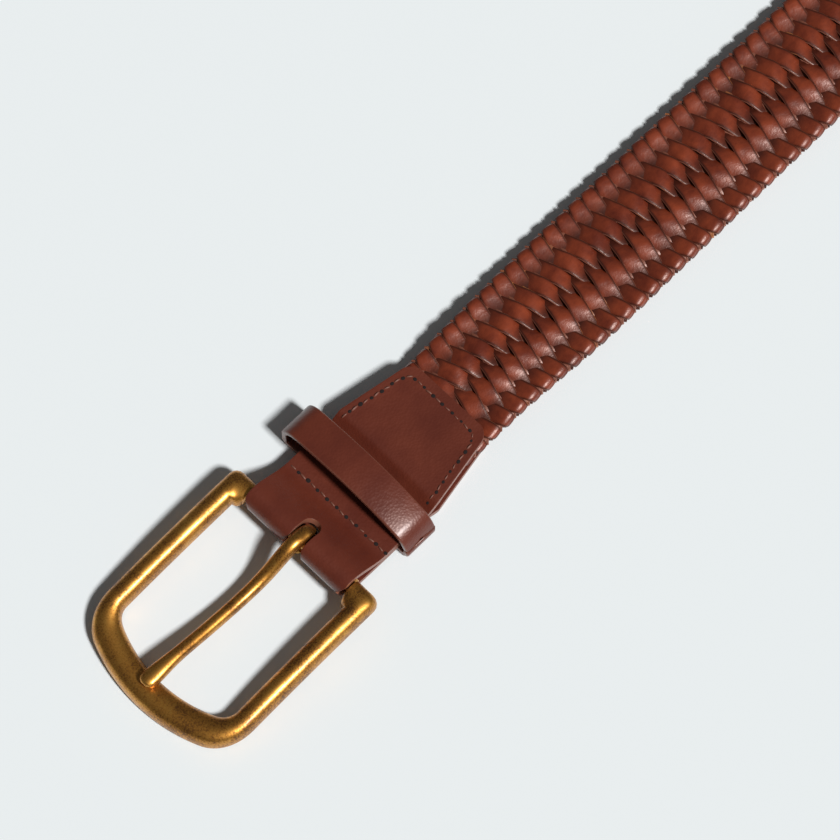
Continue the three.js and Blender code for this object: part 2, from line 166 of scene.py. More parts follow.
# Smooth dyed leather: close grain, faint mottling, paler burnished edges where "edge" is 1
def smoothLeather():
    material, tree = newMaterial("smooth_leather")
    place = addNode(tree, "ShaderNodeTexCoord").node.outputs["Object"]
    mottle = addNode(tree, "ShaderNodeTexNoise", {
        "Vector": place, "Scale": 1000 / leatherLook["mottleSize"], "Detail": 8.0, "Roughness": 0.6})
    pores = addNode(tree, "ShaderNodeTexVoronoi", {
        "Vector": place, "Scale": 1000 / leatherLook["poreSize"]})
    tone = addNode(tree, "ShaderNodeMapRange", {"Value": mottle, "From Min": 0.3, "From Max": 0.7})
    face = addNode(tree, "ShaderNodeMix", {
        0: tone, 6: linear(leatherLook["dark"]), 7: linear(leatherLook["light"])}, data_type="RGBA")
    face = face.node.outputs[2]
    edge = addNode(tree, "ShaderNodeAttribute", attribute_name="edge").node.outputs["Fac"]
    color = addNode(tree, "ShaderNodeMix", {0: edge, 6: face, 7: linear(leatherLook["edge"])},
                    data_type="RGBA").node.outputs[2]
    rough = addNode(tree, "ShaderNodeMapRange", {
        "Value": mottle, "From Min": 0.3, "From Max": 0.7,
        "To Min": leatherLook["roughness"] - 0.06, "To Max": leatherLook["roughness"] + 0.08})
    fine = addNode(tree, "ShaderNodeBump", {
        "Height": pores, "Strength": 0.5, "Distance": leatherLook["poreDepth"] * millimetre})
    broad = addNode(tree, "ShaderNodeBump", {
        "Height": mottle, "Strength": 0.15, "Distance": leatherLook["mottleDepth"] * millimetre,
        "Normal": fine})
    shader = addNode(tree, "ShaderNodeBsdfPrincipled", {
        "Base Color": color, "Roughness": rough, "Normal": broad,
        "Specular Tint": linear(leatherLook["sheen"]),
        "Coat Weight": leatherLook["wax"], "Coat Roughness": leatherLook["waxRoughness"]})
    addNode(tree, "ShaderNodeOutputMaterial", {"Surface": shader})
    return material


laceLook = {
    "dark": "#5e2416",
    "light": "#8b3d24",
    # Dark crevice colour: partly antique dye, partly painted shade
    "creviceShadeAndDye": "#2c130d",
    "shadeAndDyeStrength": 0.85,
    "cutEdge": "#84503f",
    "bareEdge": "#a8683f",
    "roughness": 0.35,
    "sheen": "#ffe6dd",
    "gloss": 0.6,
    "mottleSize": 7.0,
    "mottleDepth": 0.5,
    "poreSize": 0.5,
    "poreDepth": 0.12,
    "barePerMetre": 120.0,
}


# Braiding lace: waxed grain side, paler where it was cut
def laceLeather():
    material, tree = newMaterial("braiding_lace")
    place = addNode(tree, "ShaderNodeTexCoord").node.outputs["Object"]
    mottle = addNode(tree, "ShaderNodeTexNoise", {
        "Vector": place, "Scale": 1000 / laceLook["mottleSize"], "Detail": 7.0, "Roughness": 0.65})
    pores = addNode(tree, "ShaderNodeTexNoise", {
        "Vector": place, "Scale": 1000 / laceLook["poreSize"], "Detail": 3.0})
    tone = addNode(tree, "ShaderNodeMapRange", {"Value": mottle, "From Min": 0.35, "From Max": 0.68})
    face = addNode(tree, "ShaderNodeMix", {
        0: tone, 6: linear(laceLook["dark"]), 7: linear(laceLook["light"])},
        data_type="RGBA").node.outputs[2]
    # The colour is darkest beside the edges and where a lace dives under the next: partly antique dye,
    # partly painted shade in the crevices
    flank = addNode(tree, "ShaderNodeAttribute", attribute_name="flank").node.outputs["Fac"]
    deep = addNode(tree, "ShaderNodeAttribute", attribute_name="deep").node.outputs["Fac"]
    shadeAndDye = addNode(tree, "ShaderNodeMath", {0: flank, 1: deep}, operation="MAXIMUM")
    shadeAndDye = addNode(tree, "ShaderNodeMath", {0: shadeAndDye, 1: laceLook["shadeAndDyeStrength"]}, operation="MULTIPLY")
    face = addNode(tree, "ShaderNodeMix", {0: shadeAndDye, 6: face, 7: linear(laceLook["creviceShadeAndDye"])},
                   data_type="RGBA").node.outputs[2]
    cut = addNode(tree, "ShaderNodeAttribute", attribute_name="edge").node.outputs["Fac"]
    ragged = addNode(tree, "ShaderNodeMapRange", {
        "Value": cut, "From Min": 0.55, "From Max": 1.0, "To Max": 0.8})
    worn = addNode(tree, "ShaderNodeTexNoise", {
        "Vector": place, "Scale": laceLook["barePerMetre"], "Detail": 2.0})
    worn = addNode(tree, "ShaderNodeMapRange", {"Value": worn, "From Min": 0.6, "From Max": 0.68})
    edge = addNode(tree, "ShaderNodeMix", {
        0: worn, 6: linear(laceLook["cutEdge"]), 7: linear(laceLook["bareEdge"])},
        data_type="RGBA").node.outputs[2]
    color = addNode(tree, "ShaderNodeMix", {0: ragged, 6: face, 7: edge},
                    data_type="RGBA").node.outputs[2]
    fine = addNode(tree, "ShaderNodeBump", {
        "Height": pores, "Strength": 0.3, "Distance": laceLook["poreDepth"] * millimetre})
    broad = addNode(tree, "ShaderNodeBump", {
        "Height": mottle, "Strength": 0.4, "Distance": laceLook["mottleDepth"] * millimetre,
        "Normal": fine})
    shader = addNode(tree, "ShaderNodeBsdfPrincipled", {
        "Base Color": color, "Roughness": laceLook["roughness"], "Normal": broad,
        "Specular Tint": linear(laceLook["sheen"]), "Specular IOR Level": laceLook["gloss"]})
    addNode(tree, "ShaderNodeOutputMaterial", {"Surface": shader})
    return material


# Thread colour, and a dark colour of painted shade for the stitch holes
threadLook = {"thread": "#74483a", "holeShade": "#180b08"}


# One even colour: waxed sewing thread, and the painted shade of the punched holes that it goes through
def plainFinish(name, hexColor, roughness):
    material, tree = newMaterial(name)
    shader = addNode(tree, "ShaderNodeBsdfPrincipled", {
        "Base Color": linear(hexColor), "Roughness": roughness})
    addNode(tree, "ShaderNodeOutputMaterial", {"Surface": shader})
    return material


brass = antiqueBrass()
leather = smoothLeather()
lace = laceLeather()
thread = plainFinish("waxed_thread", threadLook["thread"], 0.5)
# Painted shade for the stitch holes, in one dark even colour
holeShade = plainFinish("stitch_hole", threadLook["holeShade"], 0.9)
burnished = plainFinish("burnished_edge", leatherLook["edge"], 0.38)
print("stage: materials")


# Meshes and sweeps


# Mesh object from points in belt millimetres, with extra values given for each point
def meshObject(name, points, edges, faces, values=None):
    points = (np.asarray(points, float) - (beltShift, 0, 0)) * millimetre
    mesh = bpy.data.meshes.new(name)
    mesh.from_pydata(points.tolist(), edges, faces)
    for key, data in (values or {}).items():
        data = np.asarray(data, float)
        kind = "FLOAT_VECTOR" if data.ndim == 2 else "FLOAT"
        attribute = mesh.attributes.new(key, kind, "POINT")
        attribute.data.foreach_set("vector" if data.ndim == 2 else "value", data.ravel())
    mesh.update()
    obj = bpy.data.objects.new(name, mesh)
    bpy.context.scene.collection.objects.link(obj)
    return obj


# Points on a smooth curve through the rows of a table, at places t along its first column
def through(rows, t):
    rows = np.asarray(rows, float)
    xs, ys = rows[:, 0], rows[:, 1:]
    slopes = np.gradient(ys, xs, axis=0)
    t = np.atleast_1d(t)
    i = np.clip(np.searchsorted(xs, t) - 1, 0, len(xs) - 2)
    h = (xs[i + 1] - xs[i])[:, None]
    u = (t - xs[i])[:, None] / h
    return (ys[i] * (1 + 2 * u) * (1 - u) ** 2 + ys[i + 1] * u * u * (3 - 2 * u)
            + h * slopes[i] * u * (1 - u) ** 2 - h * slopes[i + 1] * u * u * (1 - u))


# Closed smooth curve through points, with the same number of steps between each two
def closedCurve(points, steps):
    points = np.asarray(points, float)
    count = len(points)
    rows = np.vstack([points, points, points])
    table = np.column_stack([np.arange(3 * count), rows])
    return through(table, count + np.arange(count * steps) / steps)


# Skin over rings of points. A cyclic skin joins the last ring to the first, another gets flat ends.
def skin(name, rings, cyclic=False, values=None):
    rings = np.asarray(rings, float)
    count, sides = rings.shape[:2]
    index = np.arange(count * sides).reshape(count, sides)
    below = index if cyclic else index[:-1]
    above = np.roll(index, -1, 0) if cyclic else index[1:]
    quads = np.stack([below, np.roll(below, -1, 1), np.roll(above, -1, 1), above], -1)
    faces = quads.reshape(-1, 4).tolist()
    if not cyclic:
        faces += [index[0][::-1].tolist(), index[-1].tolist()]
    return meshObject(name, rings.reshape(-1, 3), [], faces, values)


# Turns every face outwards
def faceOutwards(obj):
    body = bmesh.new()
    body.from_mesh(obj.data)
    bmesh.ops.recalc_face_normals(body, faces=body.faces)
    body.to_mesh(obj.data)
    body.free()


# Replaces an object's mesh by what its modifiers make of it
def bake(obj):
    graph = bpy.context.evaluated_depsgraph_get()
    made = bpy.data.meshes.new_from_object(
        obj.evaluated_get(graph), preserve_all_data_layers=True, depsgraph=graph)
    obj.modifiers.clear()
    old = obj.data
    obj.data = made
    bpy.data.meshes.remove(old)
    made.name = obj.name
    return obj


# Gives a tree its geometry output and its named inputs
def giveSockets(tree, result, **inputs):
    for name, kind in inputs.items():
        tree.interface.new_socket(name=name, in_out="INPUT", socket_type="NodeSocket" + kind)
    tree.interface.new_socket(name=result, in_out="OUTPUT", socket_type="NodeSocketGeometry")


# Tree that sweeps a profile along a path. The path's points hold which way the profile's top looks
# and how wide it is there.
def sweepTree():
    tree = bpy.data.node_groups.new("sweep", "GeometryNodeTree")
    giveSockets(tree, "Swept", Path="Geometry", Profile="Object", Finish="Material")
    given = addNode(tree, "NodeGroupInput").node.outputs
    shape = addNode(tree, "GeometryNodeObjectInfo", {"Object": given["Profile"]})
    shape = addNode(tree, "GeometryNodeMeshToCurve", {"Mesh": shape.node.outputs["Geometry"]})
    path = addNode(tree, "GeometryNodeMeshToCurve", {"Mesh": given["Path"]})
    up = addNode(tree, "GeometryNodeInputNamedAttribute", {"Name": "up"}, data_type="FLOAT_VECTOR")
    path = addNode(tree, "GeometryNodeSetCurveNormal", {"Curve": path, "Normal": up}, mode="FREE")
    girth = addNode(tree, "GeometryNodeInputNamedAttribute", {"Name": "girth"}, data_type="FLOAT")
    swept = addNode(tree, "GeometryNodeCurveToMesh", {
        "Curve": path, "Profile Curve": shape, "Scale": girth, "Fill Caps": True})
    swept = addNode(tree, "GeometryNodeSetShadeSmooth", {"Geometry": swept})
    swept = addNode(tree, "GeometryNodeRealizeInstances", {"Geometry": swept})
    swept = addNode(tree, "GeometryNodeSetMaterial", {"Geometry": swept, "Material": given["Finish"]})
    addNode(tree, "NodeGroupOutput", {0: swept})
    return tree


# Runs a tree on an object, with its inputs by name, and keeps what it makes
def runTree(obj, tree, **inputs):
    modifier = obj.modifiers.new("tree", "NODES")
    modifier.node_group = tree
    for socket in tree.interface.items_tree:
        if socket.item_type == "SOCKET" and socket.in_out == "INPUT" and socket.name in inputs:
            modifier[socket.identifier] = inputs[socket.name]
    return bake(obj)


# Closed profile in millimetres, across and up, for the sweep
def profileObject(name, points, values=None):
    points = np.asarray(points, float)
    flat = np.column_stack([points[:, 0] + beltShift, points[:, 1], np.zeros(len(points))])
    count = len(points)
    return meshObject(name, flat, [(i, (i + 1) % count) for i in range(count)], [], values)


sweep = sweepTree()


# Buckle

# Half of a metal bar's section, from the middle of its domed top round to its flat base
barOutline = (
    (0.0, 1.0), (0.26, 0.965), (0.5, 0.86), (0.7, 0.69), (0.84, 0.46), (0.93, 0.18), (0.98, -0.15),
    (1.01, -0.6), (0.97, -0.86), (0.82, -0.99), (0.5, -1.0), (0.0, -1.0),
)
stepsPerPoint = 3
barShape = closedCurve(
    list(barOutline) + [(-a, u) for a, u in reversed(barOutline[1:-1])], stepsPerPoint)

frameSizes = {
    "windowWidth": 39.4,
    "sideBarWidth": 6.0,
    "frontBarWidth": 8.2,
    "barThickness": 5.2,
    "frameReach": 58.5,
    "frontBow": 46.0,
    "frameCorner": 9.0,
    "heelLift": 4.0,
    "heelBarDiameter": 4.2,
    "hubThickness": 4.8,
    "hubFront": -3.8,
    "hubBack": 2.0,
    "outerHeelCorner": 2.6,
    "innerHeelCorner": 1.8,
    "clearance": 0.3,
}


# Ring of the bar's section between an inner and an outer place in plan
def barRing(inner, outer, height, thickness):
    inner, outer = np.asarray(inner, float), np.asarray(outer, float)
    plan = (inner + outer) / 2 + barShape[:, :1] * (outer - inner) / 2
    return np.column_stack([plan, height + barShape[:, 1] * thickness / 2])


# Frame with domed bars, its hubs turned in to the thin heel bar
def buckleFrame():
    s = frameSizes
    side = (s["windowWidth"] + s["sideBarWidth"]) / 2
    frontBarX = s["frontBarWidth"] / 2 - s["frameReach"]
    bow, corner = s["frontBow"], s["frameCorner"]
    bowAngle = math.asin((side - corner) / (bow - corner))
    bowCentre = frontBarX + bow
    cornerX = bowCentre - (bow - corner) * math.cos(bowAngle)
    window = s["windowWidth"] / 2
    outside = window + s["sideBarWidth"]

    def height(x):
        return belt["heelHeight"] - s["heelLift"] * min(1.0, x / frontBarX) ** 2 * (x < 0)

    ribs = []
    # Hub and heel corner, from the chape's side out to the side bar
    hubStart = belt["strapWidth"] / 2 + s["clearance"]
    fillet = s["innerHeelCorner"]
    hubOut = window - fillet
    ribs.append(((s["hubFront"], hubStart), (s["hubBack"], hubStart), belt["heelHeight"],
                 s["hubThickness"]))
    radius = s["outerHeelCorner"]
    arc = np.linspace(0, math.pi / 2, 9)
    outline = [(s["hubBack"], hubOut)]
    outline += [(s["hubBack"] - radius * (1 - math.cos(a)), outside - radius * (1 - math.sin(a)))
                for a in arc]
    outline.append((s["hubFront"] - fillet, outside))
    outline = np.array(outline)
    walked = np.concatenate([[0], np.cumsum(np.hypot(*np.diff(outline, axis=0).T))])
    for u in np.linspace(0, 1, 15):
        a = u * math.pi / 2
        inner = (s["hubFront"] - fillet * math.sin(a), window - fillet * math.cos(a))
        outer = [np.interp(u * walked[-1], walked, outline[:, k]) for k in (0, 1)]
        thickness = mix(s["hubThickness"], s["barThickness"], ease(u))
        ribs.append((inner, outer, belt["heelHeight"], thickness))
    # Side bar, front corner and half of the bowed front bar
    middle = []
    for x in np.linspace(s["hubFront"] - fillet - 1, cornerX, 24)[:-1]:
        middle.append((x, side, math.pi / 2, 0.0))
    for t in np.linspace(0, 1, 22)[:-1]:
        angle = math.pi / 2 + t * (math.pi / 2 - bowAngle)
        middle.append((cornerX + corner * math.cos(angle), side - corner + corner * math.sin(angle),
                       angle, float(ease(t))))
    for t in np.linspace(0, 1, 14):
        angle = math.pi - bowAngle * (1 - t)
        middle.append((bowCentre + bow * math.cos(angle), bow * math.sin(angle), angle, 1.0))
    for x, y, angle, turn in middle:
        half = mix(s["sideBarWidth"], s["frontBarWidth"], turn) / 2
        out = np.array([math.cos(angle), math.sin(angle)]) * half
        ribs.append(((x - out[0], y - out[1]), (x + out[0], y + out[1]), height(x),
                     s["barThickness"]))
    flip = np.array([1, -1])
    ribs += [(np.multiply(i, flip), np.multiply(o, flip), z, t) for i, o, z, t in ribs[-2::-1]]
    rings = [barRing(*rib) for rib in ribs]
    # Thin heel bar inside the fold
    angles = np.arctan2(barShape[:, 1], barShape[:, 0])
    barRadius = s["heelBarDiameter"] / 2
    for y in (-hubStart, 0.0, hubStart):
        rings.append(np.column_stack([
            barRadius * np.cos(angles), np.full(len(angles), y),
            belt["heelHeight"] + barRadius * np.sin(angles)]))
    return skin("frame_of_buckle", rings, cyclic=True)


prongSizes = {
    "width": 4.0,
    "thickness": 3.1,
    "ringWall": 1.7,
    "ringWidth": 3.4,
    "rise": 1.0,
    "sag": 2.3,
    "reach": 54.6,
    "skew": 1.2,
    "restShare": 0.85,
    "tailAngle": -150.0,
    "headAngle": 78.0,
    "growAngle": 20.0,
    "growSpan": 70.0,
}

# Share of the reach, shares of width and thickness, shares of the way up to the root and front bar
prongSections = (
    (0.0, 1.0, 0.66, 0.975, 0.0),
    (0.02, 1.0, 0.87, 0.99, 0.0),
    (0.045, 1.0, 1.0, 1.0, 0.0),
    (0.085, 1.0, 1.0, 0.95, 0.0),
    (0.13, 0.99, 0.98, 0.76, 0.0),
    (0.18, 0.97, 0.96, 0.5, 0.0),
    (0.23, 0.95, 0.94, 0.27, 0.0),
    (0.3, 0.92, 0.92, 0.08, 0.0),
    (0.4, 0.89, 0.9, 0.0, 0.0),
    (0.5, 0.88, 0.88, 0.0, 0.07),
    (0.6, 0.88, 0.87, 0.0, 0.27),
    (0.7, 0.89, 0.87, 0.0, 0.58),
    (0.78, 0.92, 0.86, 0.0, 0.84),
    (0.85, 1.03, 0.85, 0.0, 0.98),
    (0.91, 1.17, 0.84, 0.0, 1.0),
    (0.955, 1.2, 0.8, 0.0, 1.0),
    (0.98, 1.08, 0.7, 0.0, 1.0),
    (0.993, 0.8, 0.52, 0.0, 1.0),
    (1.0, 0.4, 0.26, 0.0, 1.0),
)


# Prong from the open tail of its ring, round the heel bar and down to its tip on the front bar
def buckleProng():
    s = prongSizes
    inner = belt["foldInner"]
    ringOuter = inner + s["ringWall"]
    rootLift = ringOuter + s["rise"] - s["thickness"] / 2
    restGap = frameSizes["barThickness"] / 2 - frameSizes["heelLift"] + frameSizes["clearance"]
    restLift = restGap + s["thickness"] * s["restShare"] / 2
    rootThickness = s["thickness"] * prongSections[0][2]
    stations = []
    ringMiddle = inner + s["ringWall"] / 2
    for angle in np.radians(np.linspace(s["tailAngle"], s["headAngle"], 30)):
        grow = ease((math.degrees(angle) - s["growAngle"]) / s["growSpan"])
        thick = mix(s["ringWall"], rootThickness, grow)
        radius = mix(ringMiddle, inner + thick / 2, grow)
        stations.append((radius * math.cos(angle), radius * math.sin(angle), 0.0,
                         mix(s["ringWidth"], s["width"], grow), thick))
    at = np.concatenate([np.linspace(0, 0.96, 60), np.linspace(0.965, 1, 12)])
    for reach, (width, thick, root, rest) in zip(at, through(prongSections, at)):
        lift = -s["sag"] + root * (rootLift + s["sag"]) + rest * (restLift + s["sag"])
        stations.append((-reach * s["reach"], lift, s["skew"] * reach, width * s["width"],
                         thick * s["thickness"]))
    path = np.array(stations)
    along = np.gradient(path[:, :2], axis=0)
    along /= np.linalg.norm(along, axis=1)[:, None]
    rings = []
    for (x, z, y, width, thick), (dx, dz) in zip(path, along):
        up = barShape[:, 1] * thick / 2
        rings.append(np.column_stack([
            x + up * dz, y - barShape[:, 0] * width / 2, belt["heelHeight"] + z - up * dx]))
    return skin("prong_of_buckle", rings)


# Leather pieces

leatherSizes = {
    "rounding": 0.42,
    "roundingAngle": 50.0,
    "room": 0.06,
    "acrossSteps": 22,
    "endShare": 0.035,
}


# Heights of the chape's outer faces, above and below
def chapeTop(x):
    fold = mix(belt["heelHeight"] + belt["foldInner"] + belt["leather"],
               belt["underStrap"] + 2 * belt["leather"], ease(x / belt["foldLength"]))
    return mix(fold, belt["tabHeight"], ease((x - belt["keeperEnd"]) / belt["tabLead"]))


def chapeBase(x):
    fold = mix(belt["heelHeight"] - belt["foldInner"] - belt["leather"],
               belt["underStrap"], ease(x / belt["foldLength"]))
    return mix(fold, 0.0, ease((x - belt["keeperEnd"]) / belt["tabLead"]))


# Middle of a leather layer, half its thickness in from its outer face, and its outward direction
def layer(outer, side, x):
    slope = (outer(x + 0.05) - outer(x - 0.05)) / 0.1
    length = math.hypot(1, slope)
    out = np.array([-slope, 1.0]) / length * side
    return np.array([x, outer(x)]) - out * belt["leather"] / 2, out


# Half width of a tab at a distance from its end
def tabHalf(past):
    straight = mix(belt["tabEndWidth"] / 2, belt["strapWidth"] / 2,
                   min(1.0, past / belt["tabTaper"]))
    corner = belt["tabCorner"]
    if past < corner:
        straight -= corner - math.sqrt(max(0.0, corner ** 2 - (corner - past) ** 2))
    return straight


# Leather sheet with rounded edges from rows of a path: middle, outward direction, half width and
# half of a slot in its middle
def leatherSheet(name, rows):
    s = leatherSizes
    across = np.linspace(s["endShare"], 1 - s["endShare"], s["acrossSteps"])
    across = np.concatenate([[0], across, [1]])
    points, index = [], []
    for middle, out, half, gap in rows:
        row = []
        for side in (-1, 1):
            for k, share in enumerate(across):
                if side == 1 and k == 0 and gap == 0:
                    row.append(row[0])
                    continue
                y = side * (gap + share * (half - gap))
                row.append(len(points))
                points.append((middle[0], y, middle[1]))
        index.append(row)
    count = len(across)
    faces = []
    for low, high in zip(index, index[1:]):
        for first in (0, count):
            for k in range(first, first + count - 1):
                face = [low[k], low[k + 1], high[k + 1], high[k]]
                faces.append(face if first else face[::-1])
    obj = meshObject(name, points, [], faces)
    solid = obj.modifiers.new("thickness", "SOLIDIFY")
    solid.thickness = (belt["leather"] - s["room"]) * millimetre
    solid.offset = 0
    solid.use_even_offset = True
    solid.material_offset_rim = 1
    obj.data.materials.append(leather)
    obj.data.materials.append(burnished)
    rounding = obj.modifiers.new("rounding", "BEVEL")
    rounding.width = s["rounding"] * millimetre
    rounding.segments = 3
    rounding.limit_method = "ANGLE"
    rounding.angle_limit = math.radians(s["roundingAngle"])
    bake(obj)
    faceOutwards(obj)
    return obj


chapeSizes = {
    "slotHalf": 2.5,
    "slotReach": 5.6,
    "slotFlare": 0.8,
    "slotFlareLength": 1.3,
    "foldCorner": 2.0,
}


# Half width of the prong's slot, with its rounded blind end and its flare at the fold
def slotHalf(x):
    s = chapeSizes
    past = s["slotReach"] - x
    if past <= 0:
        return 0.0
    half = s["slotHalf"]
    if past < half:
        half = math.sqrt(half ** 2 - (half - past) ** 2)
    mouth = -belt["foldInner"] - belt["leather"] + s["slotFlareLength"]
    return half + s["slotFlare"] * max(0.0, (mouth - x) / s["slotFlareLength"]) ** 1.5


# Chape as one sheet: the lower layer, the turn round the heel bar and the upper layer
def chapeSheet():
    s = chapeSizes
    radius = belt["foldInner"] + belt["leather"] / 2
    outer = radius + belt["leather"] / 2
    end = belt["tabEnd"]
    # Dense rows where the outline turns: the tab's corners and the slot's blind end
    xs = np.concatenate([
        end - belt["tabCorner"] * (1 - np.cos(np.linspace(0, math.pi / 2, 9))),
        np.linspace(end - belt["tabCorner"] - 0.6, s["slotReach"] + 0.5, 70),
        s["slotReach"] - s["slotHalf"] * (1 - np.cos(np.linspace(0, math.pi / 2, 9))),
        np.linspace(s["slotReach"] - s["slotHalf"] - 0.4, 0, 6)])
    rows = []
    for x in xs:
        middle, out = layer(chapeBase, -1, x)
        rows.append((middle, out, tabHalf(end - x), slotHalf(x)))
    for angle in np.linspace(-math.pi / 2, -1.5 * math.pi, 22)[1:-1]:
        out = np.array([math.cos(angle), math.sin(angle)])
        middle = np.array([0, belt["heelHeight"]]) + radius * out
        shrink = s["foldCorner"] - (outer + outer * out[0])
        half = belt["strapWidth"] / 2
        if shrink > 0:
            half -= s["foldCorner"] - math.sqrt(s["foldCorner"] ** 2 - shrink ** 2)
        rows.append((middle, out, half, slotHalf(outer * out[0])))
    for x in xs[::-1]:
        middle, out = layer(chapeTop, 1, x)
        rows.append((middle, out, tabHalf(end - x), slotHalf(x)))
    return leatherSheet("folded_chape", rows)


# Heights of the tip's outer faces, above and below
def tipTop(x):
    return mix(belt["tabHeight"], 2 * belt["leather"], ease((x - belt["tipTabFull"]) / belt["tabLead"]))


def tipBase(x):
    return 0.0


pointSizes = {
    "bluntness": 2.1,
    "fullness": 0.62,
    "endShare": 0.9995,
}


# Half width of the tip's rounded point at a distance from its end
def pointHalf(past):
    share = min(1.0, past / belt["tipPoint"])
    curve = (1 - (1 - share) ** pointSizes["bluntness"]) ** pointSizes["fullness"]
    return belt["strapWidth"] / 2 * curve


# One of the tip's two layers
def tipSheet(name, outer, side):
    start, end = belt["tipTabStart"], belt["tipEnd"]
    xs = np.concatenate([
        start + belt["tabCorner"] * (1 - np.cos(np.linspace(0, math.pi / 2, 9))),
        np.linspace(start + belt["tabCorner"] + 0.6, end - belt["tipPoint"], 50),
        end - belt["tipPoint"] * (
            1 - np.sin(np.linspace(0, math.pi / 2, 26)[1:]) * pointSizes["endShare"])])
    rows = []
    for x in xs:
        middle, out = layer(outer, side, x)
        half = min(tabHalf(x - start), pointHalf(end - x))
        rows.append((middle, out, half, 0.0))
    return leatherSheet(name, rows)


stitchSizes = {
    "pitch": 3.3,
    "threadLength": 1.9,
    "threadRadius": 0.24,
    "holeRadius": 0.48,
    "sideInset": 2.0,
    "endInset": 2.9,
    "cornerRadius": 2.2,
    "cornerStep": 0.25,
    "foldSeamPast": 0.1,
    "foldSeamInset": 0.4,
    "tabSeamPast": 2.5,
    "tipSeamPast": 9.0,
    "stray": 0.14,
    "skew": 0.22,
    "smallest": 0.65,
    "largest": 1.2,
    "seed": 5,
}


# Tree that sets a shape on every point, turned along its stitch line and square to the leather
def stitchTree():
    tree = bpy.data.node_groups.new("stitch", "GeometryNodeTree")
    giveSockets(tree, "Stitches", Places="Geometry", Shape="Object", Finish="Material")
    given = addNode(tree, "NodeGroupInput").node.outputs
    shape = addNode(tree, "GeometryNodeObjectInfo", {"Object": given["Shape"]})
    shape = shape.node.outputs["Geometry"]
    up = addNode(tree, "GeometryNodeInputNamedAttribute", {"Name": "up"}, data_type="FLOAT_VECTOR")
    along = addNode(tree, "GeometryNodeInputNamedAttribute", {"Name": "along"},
                    data_type="FLOAT_VECTOR")
    turn = addNode(tree, "FunctionNodeAxesToRotation", {"Primary Axis": up, "Secondary Axis": along},
                   primary_axis="Z", secondary_axis="X")
    points = addNode(tree, "GeometryNodeMeshToPoints", {"Mesh": given["Places"]})
    # No two hand-pulled stitches are quite the same size
    scale = addNode(tree, "FunctionNodeRandomValue", {
        "Min": stitchSizes["smallest"], "Max": stitchSizes["largest"], "Seed": stitchSizes["seed"]},
        data_type="FLOAT").node.outputs[1]
    made = addNode(tree, "GeometryNodeInstanceOnPoints", {
        "Points": points, "Instance": shape, "Rotation": turn, "Scale": scale})
    made = addNode(tree, "GeometryNodeRealizeInstances", {"Geometry": made})
    made = addNode(tree, "GeometryNodeSetMaterial", {"Geometry": made, "Material": given["Finish"]})
    addNode(tree, "NodeGroupOutput", {0: made})
    return tree


# Evenly spaced places along a line in plan, and the line's direction there
def spaced(line, pitch, shift=0.0):
    line = np.asarray(line, float)
    walked = np.concatenate([[0], np.cumsum(np.linalg.norm(np.diff(line, axis=0), axis=1))])
    count = int(round(walked[-1] / pitch))
    at = (np.arange(count) + 0.5 + shift) * walked[-1] / count
    at = at[at <= walked[-1]]
    places, ahead, behind = [
        np.column_stack([np.interp(at + step, walked, line[:, k]) for k in (0, 1)])
        for step in (0.0, 0.2, -0.2)]
    ahead -= behind
    return places, ahead / np.linalg.norm(ahead, axis=1)[:, None]


# U of stitches round the end of a tab, from one side to the other. toTip is 1 where the tab points
# to the tip and -1 where it points to the buckle.
def tabLine(end, start, toTip):
    s = stitchSizes
    corner = s["cornerRadius"]
    endX = end - toTip * s["endInset"]
    points = []
    for x in np.linspace(start, endX - toTip * corner, 12):
        points.append((x, tabHalf(abs(end - x)) - s["sideInset"]))
    y = points[-1][1]
    for angle in np.radians(np.linspace(10, 90, 8)):
        points.append((endX - toTip * corner * (1 - math.sin(angle)),
                       y - corner * (1 - math.cos(angle)) - s["cornerStep"]))
    return points + [(x, -y) for x, y in points[::-1]]


# Thread, and the painted shade at its holes, of one stitch line on a face whose height is given along
# the belt
def sewLine(name, line, height):
    s = stitchSizes
    random = np.random.RandomState(s["seed"])
    objects = []
    for part, shift, shape, finish in (("thread", 0.0, threadShape, thread),
                                       ("holes", 0.5, holeShadeShape, holeShade)):
        places, along = spaced(line, s["pitch"], shift)
        places += random.uniform(-s["stray"], s["stray"], places.shape)
        along = along + s["skew"] * random.uniform(-1, 1, (len(along), 1)) * along[:, ::-1] * (-1, 1)
        slope = np.array([(height(x + 0.1) - height(x - 0.1)) / 0.2 for x in places[:, 0]])
        up = np.column_stack([-slope, np.zeros(len(slope)), np.ones(len(slope))])
        up /= np.linalg.norm(up, axis=1)[:, None]
        along = np.column_stack([along, along[:, 0] * slope])
        points = np.column_stack([places, [height(x) for x in places[:, 0]]])
        obj = meshObject(f"{name}_{part}", points, [], [], {"up": up, "along": along})
        runTree(obj, stitchWork, Shape=shape, Finish=finish)
        objects.append(obj)
    return objects


# Rounded bar of thread, lying a little sunk, about its own middle
def threadMesh():
    s = stitchSizes
    rings = []
    for t in np.linspace(-1, 1, 13):
        fade = math.sqrt(max(0.0, 1 - abs(t) ** 3)) * 0.98 + 0.02
        arch = s["threadRadius"] * (0.4 - 0.9 * t * t)
        angles = np.linspace(0, 2 * math.pi, 11)[:-1]
        rings.append(np.column_stack([
            np.full(10, t * s["threadLength"] / 2),
            s["threadRadius"] * fade * np.cos(angles),
            arch + s["threadRadius"] * fade * np.sin(angles)]))
    rings = np.array(rings) + (beltShift, 0, 0)
    obj = skin("thread_shape", rings)
    faceOutwards(obj)
    return obj


